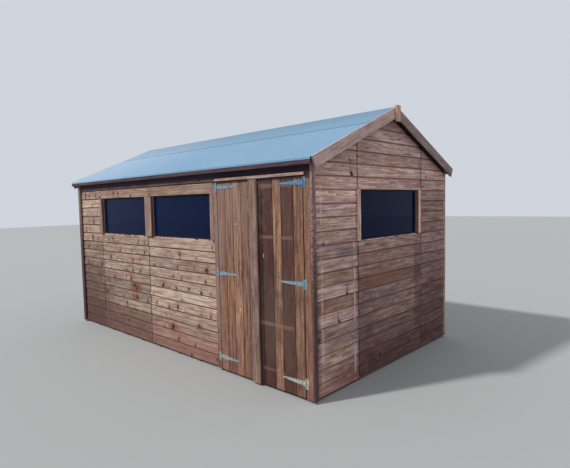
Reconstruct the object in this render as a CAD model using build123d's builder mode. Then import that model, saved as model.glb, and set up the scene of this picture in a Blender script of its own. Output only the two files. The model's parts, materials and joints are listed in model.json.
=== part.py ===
"""Timber garden shed, 4.3 m by 2.44 m, with an apex roof, three fixed windows and a pair of doors.

The origin is on the ground under the middle of the plan. X runs along the front towards the
gable with the window, Y runs from the front to the back, and Z is up. Sizes are in millimetres.
"""
from build123d import *
from math import atan, ceil, cos, degrees, floor, sin
import os

# Overall size of the boarded walls and the roof
shed_length = 4284
shed_width = 2440
eaves_height = 1987
ridge_height = 2536
eaves_overhang = 70
gable_overhang = 50
left_gable_overhang = 90

# Weatherboards
cladding_bottom = 25
course_height = 114.5
cladding_thickness = 16
lap_step = 7

# Floor
joist_size = 45
joist_count = 12
floor_thickness = 15

# Wall framing
frame_depth = 45
stud_width = 45
plate_height = 45
top_plate_bottom = 1955
back_stud_count = 8
left_gable_bays = 4

# Roof timbers and covering
felt_thickness = 3
felt_drop = 15
roof_board_thickness = 12
ridge_beam_width = 45
ridge_beam_depth = 95
purlin_size = 45
purlin_spacing = 400
gable_rail_depth = 45
rafter_width = 45
rafter_depth = 70
truss_bays = 3
tie_bottom = 1900
tie_depth = 70
felt_lap_from_ridge = 488
felt_lap = 70
fascia_thickness = 18
fascia_depth = 50
barge_thickness = 20
barge_depth = 98
barge_end_setback = 7
finial_width = 78
finial_thickness = 18
finial_rise = 9
finial_length = 155

# Windows
window_sill = 1284.5
window_head = 1742.5
wall_end_to_window = 684
window_to_doorway = 122
window_post_width = 132
gable_window_width = 1100
lining_thickness = 20
bead_size = 12
glass_thickness = 4
trim_thickness = 18
window_trim_thickness = 14
left_trim_width = 60
right_trim_width = 53
gable_trim_width = 46
corner_trim_width = 48
corner_trim_bottom = 15

# Doorway and leaves
leaf_bottom = 23
leaf_top = 1849
left_leaf_width = 558
right_leaf_width = 519
meeting_gap = 8
hinge_gap = 6
door_board_thickness = 16
groove_size = 4
left_jamb_width = 57
right_jamb_width = 69
door_head_bottom = 1856
drip_bar_bottom = 1855
drip_bar_height = 24
drip_bar_thickness = 26
drip_bar_left_overhang = 27
drip_bar_right_overhang = 12
left_board_joints = [112, 222, 334, 446]
right_board_joints = [107, 244, 345, 478]
ledge_heights = [152, 975, 1780]
ledge_width = 95
ledge_thickness = 28
ledge_setback = 18
brace_width = 70
cover_strip_width = 98
cover_strip_thickness = 20
cover_strip_bottom = 18

# Tee hinges
hinge_heights = [152, 975, 1797]
knuckle_radius = 5
pin_radius = 2.5
pin_clearance = 0.4
strap_thickness = 3
strap_length = 265
strap_root = 44
strap_tip = 14
tee_plate_width = 28
tee_plate_height = 86
knuckle_gap = 0.5

# Worked out from the sizes above
wall_x = shed_length / 2
wall_y = shed_width / 2
frame_x = wall_x - cladding_thickness
frame_y = wall_y - cladding_thickness
inside_x = frame_x - frame_depth
inside_y = frame_y - frame_depth
eaves_y = wall_y + eaves_overhang
barge_x = wall_x + gable_overhang
left_barge_x = -wall_x - left_gable_overhang
floor_top = joist_size + floor_thickness
stud_bottom = floor_top + plate_height
slope = (ridge_height - eaves_height) / eaves_y
pitch = atan(slope)
under_boards = felt_thickness + roof_board_thickness
under_purlins = under_boards + purlin_size
ridge_beam_bottom = ridge_height - under_boards / cos(pitch) - ridge_beam_depth
doorway_end = wall_x - right_jamb_width
right_leaf_end = doorway_end - hinge_gap
right_leaf_start = right_leaf_end - right_leaf_width
left_leaf_end = right_leaf_start - meeting_gap
left_leaf_start = left_leaf_end - left_leaf_width
doorway_start = left_leaf_start - hinge_gap
window_start = -wall_x + wall_end_to_window
windows_end = doorway_start - window_to_doorway
front_window_width = (windows_end - window_start - window_post_width) / 2
post_start = window_start + front_window_width
second_window_start = post_start + window_post_width
trim_y = wall_y + trim_thickness
window_middle = (window_sill + window_head) / 2
window_height = window_head - window_sill
rough_sill = window_sill - lining_thickness
rough_head = window_head + lining_thickness

# Each wall is drawn as seen from outside: the drawing's own x runs along the wall, its y is up
front_wall = Plane((0, -wall_y, 0), x_dir=(1, 0, 0), z_dir=(0, -1, 0))
back_wall = Plane((0, wall_y, 0), x_dir=(-1, 0, 0), z_dir=(0, 1, 0))
right_wall = Plane((wall_x, 0, 0), x_dir=(0, 1, 0), z_dir=(1, 0, 0))
left_wall = Plane((-wall_x, 0, 0), x_dir=(0, -1, 0), z_dir=(-1, 0, 0))

os.makedirs("parts", exist_ok=True)


def save(piece, name):
    """Labels a finished piece and writes it under the same name."""
    piece.part.label = name
    export_step(piece.part, f"parts/{name}.step")


def roof_line(across, depth):
    """Height, at a distance from the ridge, of the line a depth below the top of the roof."""
    return ridge_height - depth / cos(pitch) - abs(across) * slope


def add_rectangle(x_low, x_high, y_low, y_high, mode=Mode.ADD):
    """Adds to the open sketch a rectangle between two corners."""
    with Locations(((x_low + x_high) / 2, (y_low + y_high) / 2)):
        Rectangle(x_high - x_low, y_high - y_low, mode=mode)


def add_outline(points, mode=Mode.ADD):
    """Adds to the open sketch the face inside a closed run of straight lines."""
    Polygon(*points, align=None, mode=mode)


def weatherboards(wall, outlines):
    """Lapped boards along a wall, cut to the outlines drawn on the wall."""
    along = [x for outline in outlines for x, z in outline]
    heights = [z for outline in outlines for x, z in outline]
    start, end = min(along), max(along)
    first = floor((min(heights) - cladding_bottom) / course_height)
    last = ceil((max(heights) - cladding_bottom) / course_height)
    laps = [cladding_bottom + n * course_height for n in range(first, last + 1)]
    profile = [(-cladding_thickness, laps[0])]
    for lap in laps[:-1]:
        profile += [(0, lap), (-lap_step, lap + course_height)]
    profile.append((-cladding_thickness, laps[-1]))
    end_view = Plane(wall.from_local_coords((start, 0, 0)), x_dir=wall.z_dir, z_dir=-wall.x_dir)
    with BuildPart() as boards:
        with BuildSketch(end_view):
            add_outline(profile)
        extrude(amount=start - end)
        with BuildSketch(wall):
            for outline in outlines:
                add_outline(outline)
        extrude(amount=-cladding_thickness, mode=Mode.INTERSECT)
    return boards


def box_outline(x_low, x_high, z_low, z_high):
    """Corners of an upright rectangle on a wall."""
    return [(x_low, z_low), (x_high, z_low), (x_high, z_high), (x_low, z_high)]


def gable_outline(z_low):
    """Gable boards from a height up to the underside of the roof boards."""
    corner = roof_line(wall_y, under_boards)
    return [(-wall_y, z_low), (wall_y, z_low), (wall_y, corner),
            (0, roof_line(0, under_boards)), (-wall_y, corner)]


# Floor joists across the shed, with the boards over them
with BuildPart() as floor_joists:
    with BuildSketch():
        with GridLocations((2 * frame_x - joist_size) / (joist_count - 1), 0, joist_count, 1):
            Rectangle(joist_size, 2 * frame_y)
    extrude(amount=joist_size)
save(floor_joists, "floor_joists")

with BuildPart() as floor_boards:
    with BuildSketch(Plane.XY.offset(joist_size)):
        Rectangle(2 * frame_x, 2 * frame_y)
    extrude(amount=floor_thickness)
save(floor_boards, "floor_boards")

# Front boards, in four pieces round the windows and over the doors
side_wall_top = roof_line(wall_y, under_boards)
save(weatherboards(front_wall, [box_outline(-frame_x, doorway_start, cladding_bottom, window_sill)]),
     "front_cladding_below_windows")
save(weatherboards(front_wall, [
    box_outline(-frame_x, window_start - lining_thickness, window_sill, window_head),
    box_outline(post_start + lining_thickness, second_window_start - lining_thickness, window_sill, window_head),
    box_outline(windows_end + lining_thickness, doorway_start, window_sill, window_head),
    box_outline(doorway_end, frame_x, cladding_bottom, door_head_bottom),
]), "front_cladding_beside_openings")
save(weatherboards(front_wall, [box_outline(-frame_x, doorway_start, window_head, side_wall_top)]),
     "front_cladding_above_windows")
save(weatherboards(front_wall, [box_outline(doorway_start, frame_x, door_head_bottom, side_wall_top)]),
     "front_cladding_over_doors")

# Right gable boards round the window, and the plain left gable and back
half_window = gable_window_width / 2
save(weatherboards(right_wall, [box_outline(-wall_y, wall_y, cladding_bottom, window_sill)]),
     "right_gable_cladding_below")
save(weatherboards(right_wall, [
    box_outline(-wall_y, -half_window - lining_thickness, window_sill, window_head),
    box_outline(half_window + lining_thickness, wall_y, window_sill, window_head),
]), "right_gable_cladding_beside")
save(weatherboards(right_wall, [gable_outline(window_head)]), "right_gable_cladding_above")
save(weatherboards(left_wall, [gable_outline(cladding_bottom)]), "left_gable_cladding")
save(weatherboards(back_wall, [box_outline(-frame_x, frame_x, cladding_bottom, side_wall_top)]),
     "back_cladding")

# Wall studs, drawn on each wall's framing plane and cut under the plates and sloping rails
gable_stud_line = [(-inside_y, stud_bottom), (inside_y, stud_bottom),
                   (inside_y, roof_line(inside_y, under_purlins + gable_rail_depth)),
                   (ridge_beam_width / 2, roof_line(ridge_beam_width / 2, under_purlins + gable_rail_depth)),
                   (ridge_beam_width / 2, ridge_beam_bottom),
                   (-ridge_beam_width / 2, ridge_beam_bottom),
                   (-ridge_beam_width / 2, roof_line(ridge_beam_width / 2, under_purlins + gable_rail_depth)),
                   (-inside_y, roof_line(inside_y, under_purlins + gable_rail_depth))]
back_stud_spacing = (2 * frame_x - stud_width) / (back_stud_count - 1)
window_middles = [window_start + front_window_width / 2, second_window_start + front_window_width / 2]
window_stud = half_window + lining_thickness + stud_width / 2
with BuildPart() as wall_studs:
    with BuildSketch(front_wall.offset(-cladding_thickness)):
        full_studs = [
            (-frame_x, -frame_x + stud_width),
            (window_start - lining_thickness - stud_width, window_start - lining_thickness),
            (post_start + lining_thickness, post_start + lining_thickness + stud_width),
            (second_window_start - lining_thickness - stud_width, second_window_start - lining_thickness),
            (windows_end + lining_thickness, doorway_start),
            (doorway_end, frame_x),
        ]
        for low, high in full_studs:
            add_rectangle(low, high, stud_bottom, top_plate_bottom)
        for middle in window_middles:
            add_rectangle(middle - stud_width / 2, middle + stud_width / 2, stud_bottom, rough_sill - plate_height)
    extrude(amount=-frame_depth)
    with BuildSketch(back_wall.offset(-cladding_thickness)):
        with Locations((0, (stud_bottom + top_plate_bottom) / 2)):
            with GridLocations(back_stud_spacing, 0, back_stud_count, 1):
                Rectangle(stud_width, top_plate_bottom - stud_bottom)
    extrude(amount=-frame_depth)
    with BuildSketch(left_wall.offset(-cladding_thickness)):
        for bay in range(1, left_gable_bays):
            middle = -inside_y + bay * 2 * inside_y / left_gable_bays
            add_rectangle(middle - stud_width / 2, middle + stud_width / 2, stud_bottom, ridge_height)
        add_outline(gable_stud_line, mode=Mode.INTERSECT)
    extrude(amount=-frame_depth)
    with BuildSketch(right_wall.offset(-cladding_thickness)):
        for middle in (-window_stud, 0, window_stud):
            add_rectangle(middle - stud_width / 2, middle + stud_width / 2, stud_bottom, ridge_height)
        add_rectangle(-window_stud + stud_width / 2, window_stud - stud_width / 2,
                      rough_sill - plate_height, rough_head + plate_height, mode=Mode.SUBTRACT)
        add_outline(gable_stud_line, mode=Mode.INTERSECT)
    extrude(amount=-frame_depth)
save(wall_studs, "wall_studs")

# Sole plates and bevelled top plates of the two long walls
plate_section = [(inside_y, top_plate_bottom), (frame_y, top_plate_bottom),
                 (frame_y, roof_line(frame_y, under_boards)), (inside_y, roof_line(inside_y, under_boards))]
with BuildPart() as side_wall_plates:
    with BuildSketch(Plane.XY.offset(floor_top)):
        add_rectangle(-frame_x, doorway_start, -frame_y, -inside_y)
        add_rectangle(doorway_end, frame_x, -frame_y, -inside_y)
        add_rectangle(-frame_x, frame_x, inside_y, frame_y)
    extrude(amount=plate_height)
    with BuildSketch(Plane.YZ):
        add_outline(plate_section)
        mirror(about=Plane.YZ)
    extrude(amount=frame_x, both=True)
save(side_wall_plates, "side_wall_plates")

# Sole plates and sloping top rails of the gables
rail_outline = [(ridge_beam_width / 2, roof_line(ridge_beam_width / 2, under_purlins)),
                (inside_y, roof_line(inside_y, under_purlins)),
                (inside_y, roof_line(inside_y, under_purlins + gable_rail_depth)),
                (ridge_beam_width / 2, roof_line(ridge_beam_width / 2, under_purlins + gable_rail_depth))]
with BuildPart() as gable_rails:
    for wall in (left_wall, right_wall):
        with BuildSketch(wall.offset(-cladding_thickness)):
            add_rectangle(-inside_y, inside_y, floor_top, stud_bottom)
            add_outline(rail_outline)
            mirror(about=Plane.YZ)
        extrude(amount=-frame_depth)
save(gable_rails, "gable_rails")

# Rails above and below each window, and the head over the doorway
with BuildPart() as window_rails:
    for wall, middles, width in ((front_wall, window_middles, front_window_width),
                                 (right_wall, [0], gable_window_width)):
        with BuildSketch(wall.offset(-cladding_thickness)):
            for middle in middles:
                half = width / 2 + lining_thickness
                add_rectangle(middle - half, middle + half, rough_sill - plate_height, rough_sill)
                add_rectangle(middle - half, middle + half, rough_head, rough_head + plate_height)
        extrude(amount=-frame_depth)
save(window_rails, "window_rails")

with BuildPart() as door_head:
    with BuildSketch(front_wall.offset(-cladding_thickness)):
        add_rectangle(doorway_start, doorway_end, door_head_bottom, top_plate_bottom)
    extrude(amount=-frame_depth)
save(door_head, "door_head")

# Ridge beam, purlins, rafter pairs and ties
with BuildPart() as ridge_beam:
    with BuildSketch(Plane.YZ):
        half = ridge_beam_width / 2
        side = roof_line(half, under_boards)
        add_outline([(-half, ridge_beam_bottom), (half, ridge_beam_bottom), (half, side),
                     (0, roof_line(0, under_boards)), (-half, side)])
    extrude(amount=frame_x, both=True)
save(ridge_beam, "ridge_beam")

with BuildPart() as purlins:
    with BuildSketch(Plane.YZ):
        for across in (purlin_spacing, 2 * purlin_spacing):
            depth = purlin_size / cos(pitch)
            middle = roof_line(across, under_boards) - depth / 2
            with Locations(Location((across, middle), -degrees(pitch))):
                Rectangle(purlin_size, purlin_size)
        mirror(about=Plane.YZ)
    extrude(amount=frame_x, both=True)
save(purlins, "purlins")

rafter_outline = [(ridge_beam_width / 2, roof_line(ridge_beam_width / 2, under_purlins)),
                  (inside_y, roof_line(inside_y, under_purlins)),
                  (inside_y, roof_line(inside_y, under_purlins + rafter_depth)),
                  (ridge_beam_width / 2, roof_line(ridge_beam_width / 2, under_purlins + rafter_depth))]
truss_positions = [-wall_x + bay * shed_length / truss_bays for bay in range(1, truss_bays)]
with BuildPart() as rafters:
    for position in truss_positions:
        with BuildSketch(Plane.YZ.offset(position)):
            add_outline(rafter_outline)
            mirror(about=Plane.YZ)
        extrude(amount=rafter_width)
save(rafters, "rafters")

with BuildPart() as roof_ties:
    for position in truss_positions:
        with BuildSketch(Plane.YZ.offset(position - rafter_width)):
            add_rectangle(-inside_y, inside_y, tie_bottom, tie_bottom + tie_depth)
        extrude(amount=rafter_width)
save(roof_ties, "roof_ties")

# Roof boards of each slope, and the felt over them in three sheets
roof_end = Plane.YZ.offset(left_barge_x)
fascia_back = eaves_y - fascia_thickness
board_section = [(0, roof_line(0, felt_thickness)), (fascia_back, roof_line(fascia_back, felt_thickness)),
                 (fascia_back, roof_line(fascia_back, under_boards)), (0, roof_line(0, under_boards))]
lower_felt_end = felt_lap_from_ridge - felt_lap
felt_edge = roof_line(eaves_y, felt_thickness)
lower_felt_section = [(lower_felt_end, roof_line(lower_felt_end, 0)),
                      (eaves_y + felt_thickness, roof_line(eaves_y + felt_thickness, 0)),
                      (eaves_y + felt_thickness, felt_edge - felt_drop),
                      (eaves_y, felt_edge - felt_drop), (eaves_y, felt_edge),
                      (lower_felt_end, roof_line(lower_felt_end, felt_thickness))]
for name, side in (("front", -1), ("back", 1)):
    with BuildPart() as roof_boards:
        with BuildSketch(roof_end):
            add_outline([(side * across, height) for across, height in board_section])
        extrude(amount=barge_x - left_barge_x)
    save(roof_boards, f"{name}_roof_boards")
    with BuildPart() as lower_felt:
        with BuildSketch(roof_end):
            add_outline([(side * across, height) for across, height in lower_felt_section])
        extrude(amount=barge_x - left_barge_x)
    save(lower_felt, f"{name}_roof_felt")

with BuildPart() as ridge_felt:
    with BuildSketch(roof_end):
        raised = -felt_thickness
        joggle = lower_felt_end - 2 * felt_thickness
        half_sheet = [(0, roof_line(0, 0)), (joggle, roof_line(joggle, 0)),
                      (lower_felt_end, roof_line(lower_felt_end, raised)),
                      (felt_lap_from_ridge, roof_line(felt_lap_from_ridge, raised)),
                      (felt_lap_from_ridge, roof_line(felt_lap_from_ridge, 0)),
                      (lower_felt_end, roof_line(lower_felt_end, 0)),
                      (lower_felt_end, roof_line(lower_felt_end, felt_thickness)),
                      (0, roof_line(0, felt_thickness))]
        add_outline(half_sheet)
        mirror(about=Plane.YZ)
    extrude(amount=barge_x - left_barge_x)
save(ridge_felt, "ridge_felt")

# Fascia boards under the felt's edge, bargeboards on the ends and the block at each apex
with BuildPart() as fascias:
    with BuildSketch(roof_end):
        add_outline([(fascia_back, felt_edge - fascia_depth), (eaves_y, felt_edge - fascia_depth),
                     (eaves_y, felt_edge), (fascia_back, roof_line(fascia_back, felt_thickness))])
        mirror(about=Plane.YZ)
    extrude(amount=barge_x - left_barge_x)
save(fascias, "fascias")

barge_end = eaves_y - barge_end_setback
for name, side in (("front", -1), ("back", 1)):
    with BuildPart() as bargeboards:
        for start, amount in ((barge_x, barge_thickness), (left_barge_x, -barge_thickness)):
            with BuildSketch(Plane.YZ.offset(start)):
                foot = barge_end - barge_depth * sin(pitch)
                add_outline([(0, roof_line(0, 0)), (side * barge_end, roof_line(barge_end, 0)),
                             (side * foot, roof_line(foot, barge_depth)), (0, roof_line(0, barge_depth))])
            extrude(amount=amount)
    save(bargeboards, f"{name}_bargeboards")

# The right block stands above the ridge, and the left one is cut to the slopes
finial_bottom = ridge_height + finial_rise - finial_length
half = finial_width / 2
right_top = [(half, ridge_height + finial_rise), (-half, ridge_height + finial_rise)]
left_top = [(half, roof_line(half, 0)), (0, roof_line(0, 0)), (-half, roof_line(half, 0))]
with BuildPart() as finials:
    for start, amount, top in ((barge_x + barge_thickness, finial_thickness, right_top),
                               (left_barge_x - barge_thickness, -finial_thickness, left_top)):
        with BuildSketch(Plane.YZ.offset(start)):
            add_outline([(-half, finial_bottom), (half, finial_bottom)] + top)
        extrude(amount=amount)
save(finials, "finials")

# Corner trims: on the gable faces at the front corners, on the back face at the back corners,
# and one on the front face at the left corner
with BuildPart() as corner_trims:
    with BuildSketch(Plane.XY.offset(corner_trim_bottom)):
        add_rectangle(wall_x, wall_x + trim_thickness, -trim_y, -trim_y + corner_trim_width)
        add_rectangle(wall_x - corner_trim_width, wall_x, wall_y, trim_y)
        mirror(about=Plane.YZ)
        add_rectangle(-wall_x, -wall_x + corner_trim_width, -trim_y, -wall_y)
    extrude(amount=roof_line(trim_y, under_boards) - corner_trim_bottom)
save(corner_trims, "corner_trims")

# Jamb boards beside the doors and the drip bar over them
with BuildPart() as door_jambs:
    with BuildSketch(Plane.XY.offset(leaf_bottom)):
        add_rectangle(doorway_start - left_jamb_width, doorway_start, -trim_y, -wall_y)
        add_rectangle(doorway_end, wall_x, -trim_y, -wall_y)
    extrude(amount=drip_bar_bottom - leaf_bottom)
save(door_jambs, "door_jambs")

with BuildPart() as drip_bar:
    with BuildSketch(front_wall):
        add_rectangle(doorway_start - drip_bar_left_overhang, doorway_end + drip_bar_right_overhang,
                      drip_bar_bottom, drip_bar_bottom + drip_bar_height)
    extrude(amount=drip_bar_thickness)
save(drip_bar, "drip_bar")

# Window linings: boards round each opening with a stop on each side of the glass
lining_back = -cladding_thickness - frame_depth
glass_front = -cladding_thickness - bead_size
glass_back = glass_front - glass_thickness
stop_backs = [glass_front, glass_back - bead_size]
openings = [(front_wall, middle, front_window_width) for middle in window_middles]
openings.append((right_wall, 0, gable_window_width))


with BuildPart() as window_side_linings:
    for wall, middle, width in openings:
        for side in (-1, 1):
            edge = middle + side * width / 2
            with BuildSketch(wall.offset(lining_back)):
                add_rectangle(min(edge, edge + side * lining_thickness), max(edge, edge + side * lining_thickness),
                              window_sill, window_head)
            extrude(amount=-lining_back)
            for stop_back in stop_backs:
                with BuildSketch(wall.offset(stop_back)):
                    add_rectangle(min(edge, edge - side * bead_size), max(edge, edge - side * bead_size),
                                  window_sill, window_head)
                extrude(amount=bead_size)
save(window_side_linings, "window_side_linings")

for name, edge, side in (("window_sills", window_sill, -1), ("window_heads", window_head, 1)):
    with BuildPart() as boards:
        for wall, middle, width in openings:
            half = width / 2 + lining_thickness
            with BuildSketch(wall.offset(lining_back)):
                add_rectangle(middle - half, middle + half,
                              min(edge, edge + side * lining_thickness), max(edge, edge + side * lining_thickness))
            extrude(amount=frame_depth)
            half = width / 2 - bead_size
            for stop_back in stop_backs:
                with BuildSketch(wall.offset(stop_back)):
                    add_rectangle(middle - half, middle + half,
                                  min(edge, edge - side * bead_size), max(edge, edge - side * bead_size))
                extrude(amount=bead_size)
    save(boards, name)

with BuildPart() as window_glass:
    for wall, middle, width in openings:
        with BuildSketch(wall.offset(glass_back)):
            with Locations((middle, window_middle)):
                Rectangle(width, window_height)
        extrude(amount=glass_thickness)
save(window_glass, "window_glass")

# Cover boards up the sides of the windows
with BuildPart() as window_trims:
    with BuildSketch(front_wall):
        for low, high in ((window_start - left_trim_width, window_start), (post_start, second_window_start),
                          (windows_end, windows_end + right_trim_width)):
            add_rectangle(low, high, window_sill, window_head)
    extrude(amount=window_trim_thickness)
    with BuildSketch(right_wall):
        add_rectangle(half_window, half_window + gable_trim_width, window_sill, window_head)
        mirror(about=Plane.YZ)
    extrude(amount=window_trim_thickness)
save(window_trims, "window_trims")


def leaf_boards(low, high, joints):
    """Upright boards of one leaf, with a groove down each joint."""
    face = -trim_y
    with BuildPart() as leaf:
        with BuildSketch(Plane.XY.offset(leaf_bottom)):
            add_rectangle(low, high, face, face + door_board_thickness)
            for joint in joints:
                add_outline([(joint - groove_size / 2, face), (joint + groove_size / 2, face),
                             (joint, face + groove_size)], mode=Mode.SUBTRACT)
        extrude(amount=leaf_top - leaf_bottom)
    return leaf


left_joints = [left_leaf_start + distance for distance in left_board_joints]
right_joints = [right_leaf_end - distance for distance in right_board_joints]
save(leaf_boards(left_leaf_start, left_leaf_end, left_joints), "left_door_boards")
save(leaf_boards(right_leaf_start, right_leaf_end, right_joints), "right_door_boards")


def leaf_ledges(low, high):
    """Three ledges across the back of a leaf."""
    with BuildPart() as ledges:
        with BuildSketch(Plane.XZ.offset(trim_y - door_board_thickness)):
            for height in ledge_heights:
                add_rectangle(low + ledge_setback, high - ledge_setback,
                              height - ledge_width / 2, height + ledge_width / 2)
        extrude(amount=-ledge_thickness)
    return ledges


def leaf_braces(foot, head):
    """Braces that climb from the hinge side between the ledges."""
    with BuildPart() as braces:
        with BuildSketch(Plane.XZ.offset(trim_y - door_board_thickness)):
            for low, high in zip(ledge_heights, ledge_heights[1:]):
                bottom = low + ledge_width / 2
                top = high - ledge_width / 2
                add_outline([(foot, bottom), (foot + brace_width * (1 if head > foot else -1), bottom),
                             (head, top), (head - brace_width * (1 if head > foot else -1), top)])
        extrude(amount=-ledge_thickness)
    return braces


left_inner = left_leaf_start + ledge_setback, left_leaf_end - ledge_setback
right_inner = right_leaf_start + ledge_setback, right_leaf_end - ledge_setback
save(leaf_ledges(left_leaf_start, left_leaf_end), "left_door_ledges")
save(leaf_ledges(right_leaf_start, right_leaf_end), "right_door_ledges")
save(leaf_braces(left_inner[0], left_inner[1]), "left_door_braces")
save(leaf_braces(right_inner[1], right_inner[0]), "right_door_braces")

# Cover strip on the left leaf, flush with its free edge
with BuildPart() as meeting_strip:
    with BuildSketch(Plane.XY.offset(cover_strip_bottom)):
        add_rectangle(left_leaf_end - cover_strip_width, left_leaf_end, -trim_y - cover_strip_thickness, -trim_y)
    extrude(amount=leaf_top - cover_strip_bottom)
save(meeting_strip, "meeting_strip")

# Tee hinges: the plate on the jamb has two knuckles and the pin, the strap has the middle knuckle
left_pin = doorway_start + hinge_gap / 2
right_pin = doorway_end - hinge_gap / 2
pin_y = -trim_y - knuckle_radius
plate_knuckle = (tee_plate_height - strap_root) / 2


def hinge_plates():
    """Plates on the jambs with their outer knuckles and pins."""
    with BuildPart() as plates:
        for pin, side in ((left_pin, -1), (right_pin, 1)):
            for height in hinge_heights:
                near = pin + side * (knuckle_radius + knuckle_gap)
                far = pin + side * tee_plate_width
                with BuildSketch(Plane.XZ.offset(trim_y)):
                    add_rectangle(min(near, far), max(near, far),
                                  height - tee_plate_height / 2, height + tee_plate_height / 2)
                extrude(amount=strap_thickness)
                for bottom in (height - tee_plate_height / 2, height + strap_root / 2):
                    with BuildSketch(Plane.XY.offset(bottom)):
                        with Locations((pin, pin_y)):
                            Circle(knuckle_radius)
                        add_rectangle(min(pin, near), max(pin, near), -trim_y - strap_thickness, -trim_y)
                    extrude(amount=plate_knuckle)
                with BuildSketch(Plane.XY.offset(height - strap_root / 2)):
                    with Locations((pin, pin_y)):
                        Circle(pin_radius)
                extrude(amount=strap_root)
    return plates


def hinge_straps(pin, side):
    """Tapered straps on a leaf with the middle knuckle of each hinge."""
    root = pin + side * hinge_gap / 2
    tip = pin + side * (strap_length - strap_tip / 2)
    half_root = strap_root / 2 - knuckle_gap
    with BuildPart() as straps:
        for height in hinge_heights:
            with BuildSketch(Plane.XZ.offset(trim_y)):
                add_outline([(root, height - half_root), (root, height + half_root),
                             (tip, height + strap_tip / 2), (tip, height - strap_tip / 2)])
                with Locations((tip, height)):
                    Circle(strap_tip / 2)
            extrude(amount=strap_thickness)
            with BuildSketch(Plane.XY.offset(height - half_root)):
                with Locations((pin, pin_y)):
                    Circle(knuckle_radius)
                add_rectangle(min(pin, root), max(pin, root), -trim_y - strap_thickness, -trim_y)
                with Locations((pin, pin_y)):
                    Circle(pin_radius + pin_clearance, mode=Mode.SUBTRACT)
            extrude(amount=2 * half_root)
    return straps


save(hinge_plates(), "hinge_plates")
save(hinge_straps(left_pin, 1), "left_door_hinges")
save(hinge_straps(right_pin, -1), "right_door_hinges")
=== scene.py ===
"""Looks of the wooden garden shed: boards, trims, doors, hinges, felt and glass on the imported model."""
import json
import math
import random

import bmesh
import bpy
from mathutils import Matrix, Vector

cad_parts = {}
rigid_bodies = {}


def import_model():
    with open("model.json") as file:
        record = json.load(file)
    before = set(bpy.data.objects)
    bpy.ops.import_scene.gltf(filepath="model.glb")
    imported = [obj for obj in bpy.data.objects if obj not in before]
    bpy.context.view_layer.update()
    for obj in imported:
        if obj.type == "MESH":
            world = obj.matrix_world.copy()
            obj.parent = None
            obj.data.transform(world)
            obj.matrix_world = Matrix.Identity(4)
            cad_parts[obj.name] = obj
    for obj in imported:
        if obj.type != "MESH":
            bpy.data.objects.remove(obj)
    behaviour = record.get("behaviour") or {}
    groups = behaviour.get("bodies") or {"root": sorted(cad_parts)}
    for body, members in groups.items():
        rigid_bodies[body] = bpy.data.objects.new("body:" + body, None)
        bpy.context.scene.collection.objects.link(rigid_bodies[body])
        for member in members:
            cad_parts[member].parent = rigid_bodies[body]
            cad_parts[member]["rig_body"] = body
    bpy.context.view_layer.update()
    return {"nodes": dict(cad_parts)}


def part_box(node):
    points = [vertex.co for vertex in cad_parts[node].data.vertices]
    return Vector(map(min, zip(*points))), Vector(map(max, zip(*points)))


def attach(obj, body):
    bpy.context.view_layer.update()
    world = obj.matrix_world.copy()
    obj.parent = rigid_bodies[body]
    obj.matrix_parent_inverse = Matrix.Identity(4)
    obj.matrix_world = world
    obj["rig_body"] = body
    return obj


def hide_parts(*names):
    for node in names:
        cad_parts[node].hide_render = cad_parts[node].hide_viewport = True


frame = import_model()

random.seed(11)

# Camera at eye level before the front-right corner, fitted to the photograph
CAMERA_PLACE = Vector((4.47364, -4.01583, 1.63416))
CAMERA_YAW = 0.75423
CAMERA_PITCH = -0.06721
CAMERA_ROLL = -0.0216
CAMERA_FOCAL_PIXELS = 459.36
PHOTO_WIDTH = 570

# Weatherboards: height of a course, where the wall panels meet, and the outline of one board as (depth, rise)
COURSE = 0.1145
FRONT_SEAMS = [-1.505, -0.335]
GABLE_SEAMS = [-0.577, 0.63]
BACK_SEAMS = [-1.07, 0.0, 1.07]
BOARD_OUTLINE = [(-0.016, 0.0065), (-0.01, 0.0065), (-0.01, 0), (-0.003, 0), (-0.0006, 0.0012), (-0.0002, 0.004),
                 (-0.0034, 0.0545), (-0.0056, 0.0568), (-0.004, 0.059), (-0.0062, 0.097), (-0.0065, 0.1005),
                 (-0.009, 0.1065), (-0.011, 0.112), (-0.0112, 0.119), (-0.016, 0.119)]
# Top of the rippled lip and of the groove, the groove's deepest point in the outline, and the length of one ripple step
LIP_HEIGHT = 0.005
GROOVE_HEIGHT = 0.06
GROOVE_BOTTOM = 7
BOARD_STEP = 0.11
# Gaps at the ends of a wall and at its joints, and the least length, height and reach under the apex of a board
END_GAP = 0.0008
JOINT_GAPS = 0.0015, 0.003
SHORTEST_BOARD = 0.05
LOWEST_BOARD = 0.012
GABLE_TIP = 0.03
# Extra tone of the faces that follow these points: painted shade under the lip, in the groove and at the lap, and a
# painted highlight on the arris
PAINTED_FACE_SHADING = {2: -1.5, 3: -0.8, 6: -0.8, 9: 1.3, 10: -1.0, 11: -2.3, 12: -2.6}
# Nails: height above the foot of a course, places along each wall, and heads as (radius, height)
NAIL_HEIGHT = 0.024
FRONT_NAILS = [-2.075, -1.555, -1.505, -0.925, -0.345, -0.295, 0.28, 0.94]
BACK_NAILS = [-2.07, -1.46, -1.095, -1.045, -0.55, -0.025, 0.025, 0.55, 1.045, 1.095, 1.46, 2.07]
RIGHT_NAILS = [-1.14, -0.66, -0.58, 0.0, 0.585, 0.64, 1.19]
LEFT_NAILS = [-1.19, -0.63, -0.58, 0.0, 0.58, 0.64, 1.17]
NAIL_HEAD = 0.0028, 0.0008

# Hinge screws: places along a strap, up and down a plate, and heads as (radius, height)
STRAP_SCREWS = [0.035, 0.095, 0.17, 0.25]
PLATE_SCREWS = [-0.032, 0.0, 0.032]
PLATE_INSET = 0.011
SCREW_HEAD = 0.0042, 0.0018
DOORWAY_MIDDLE = 1.5

# Height of the line where the ridge sheet laps over the roof felt
RIDGE_SHEET_EDGE = 2.329

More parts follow.
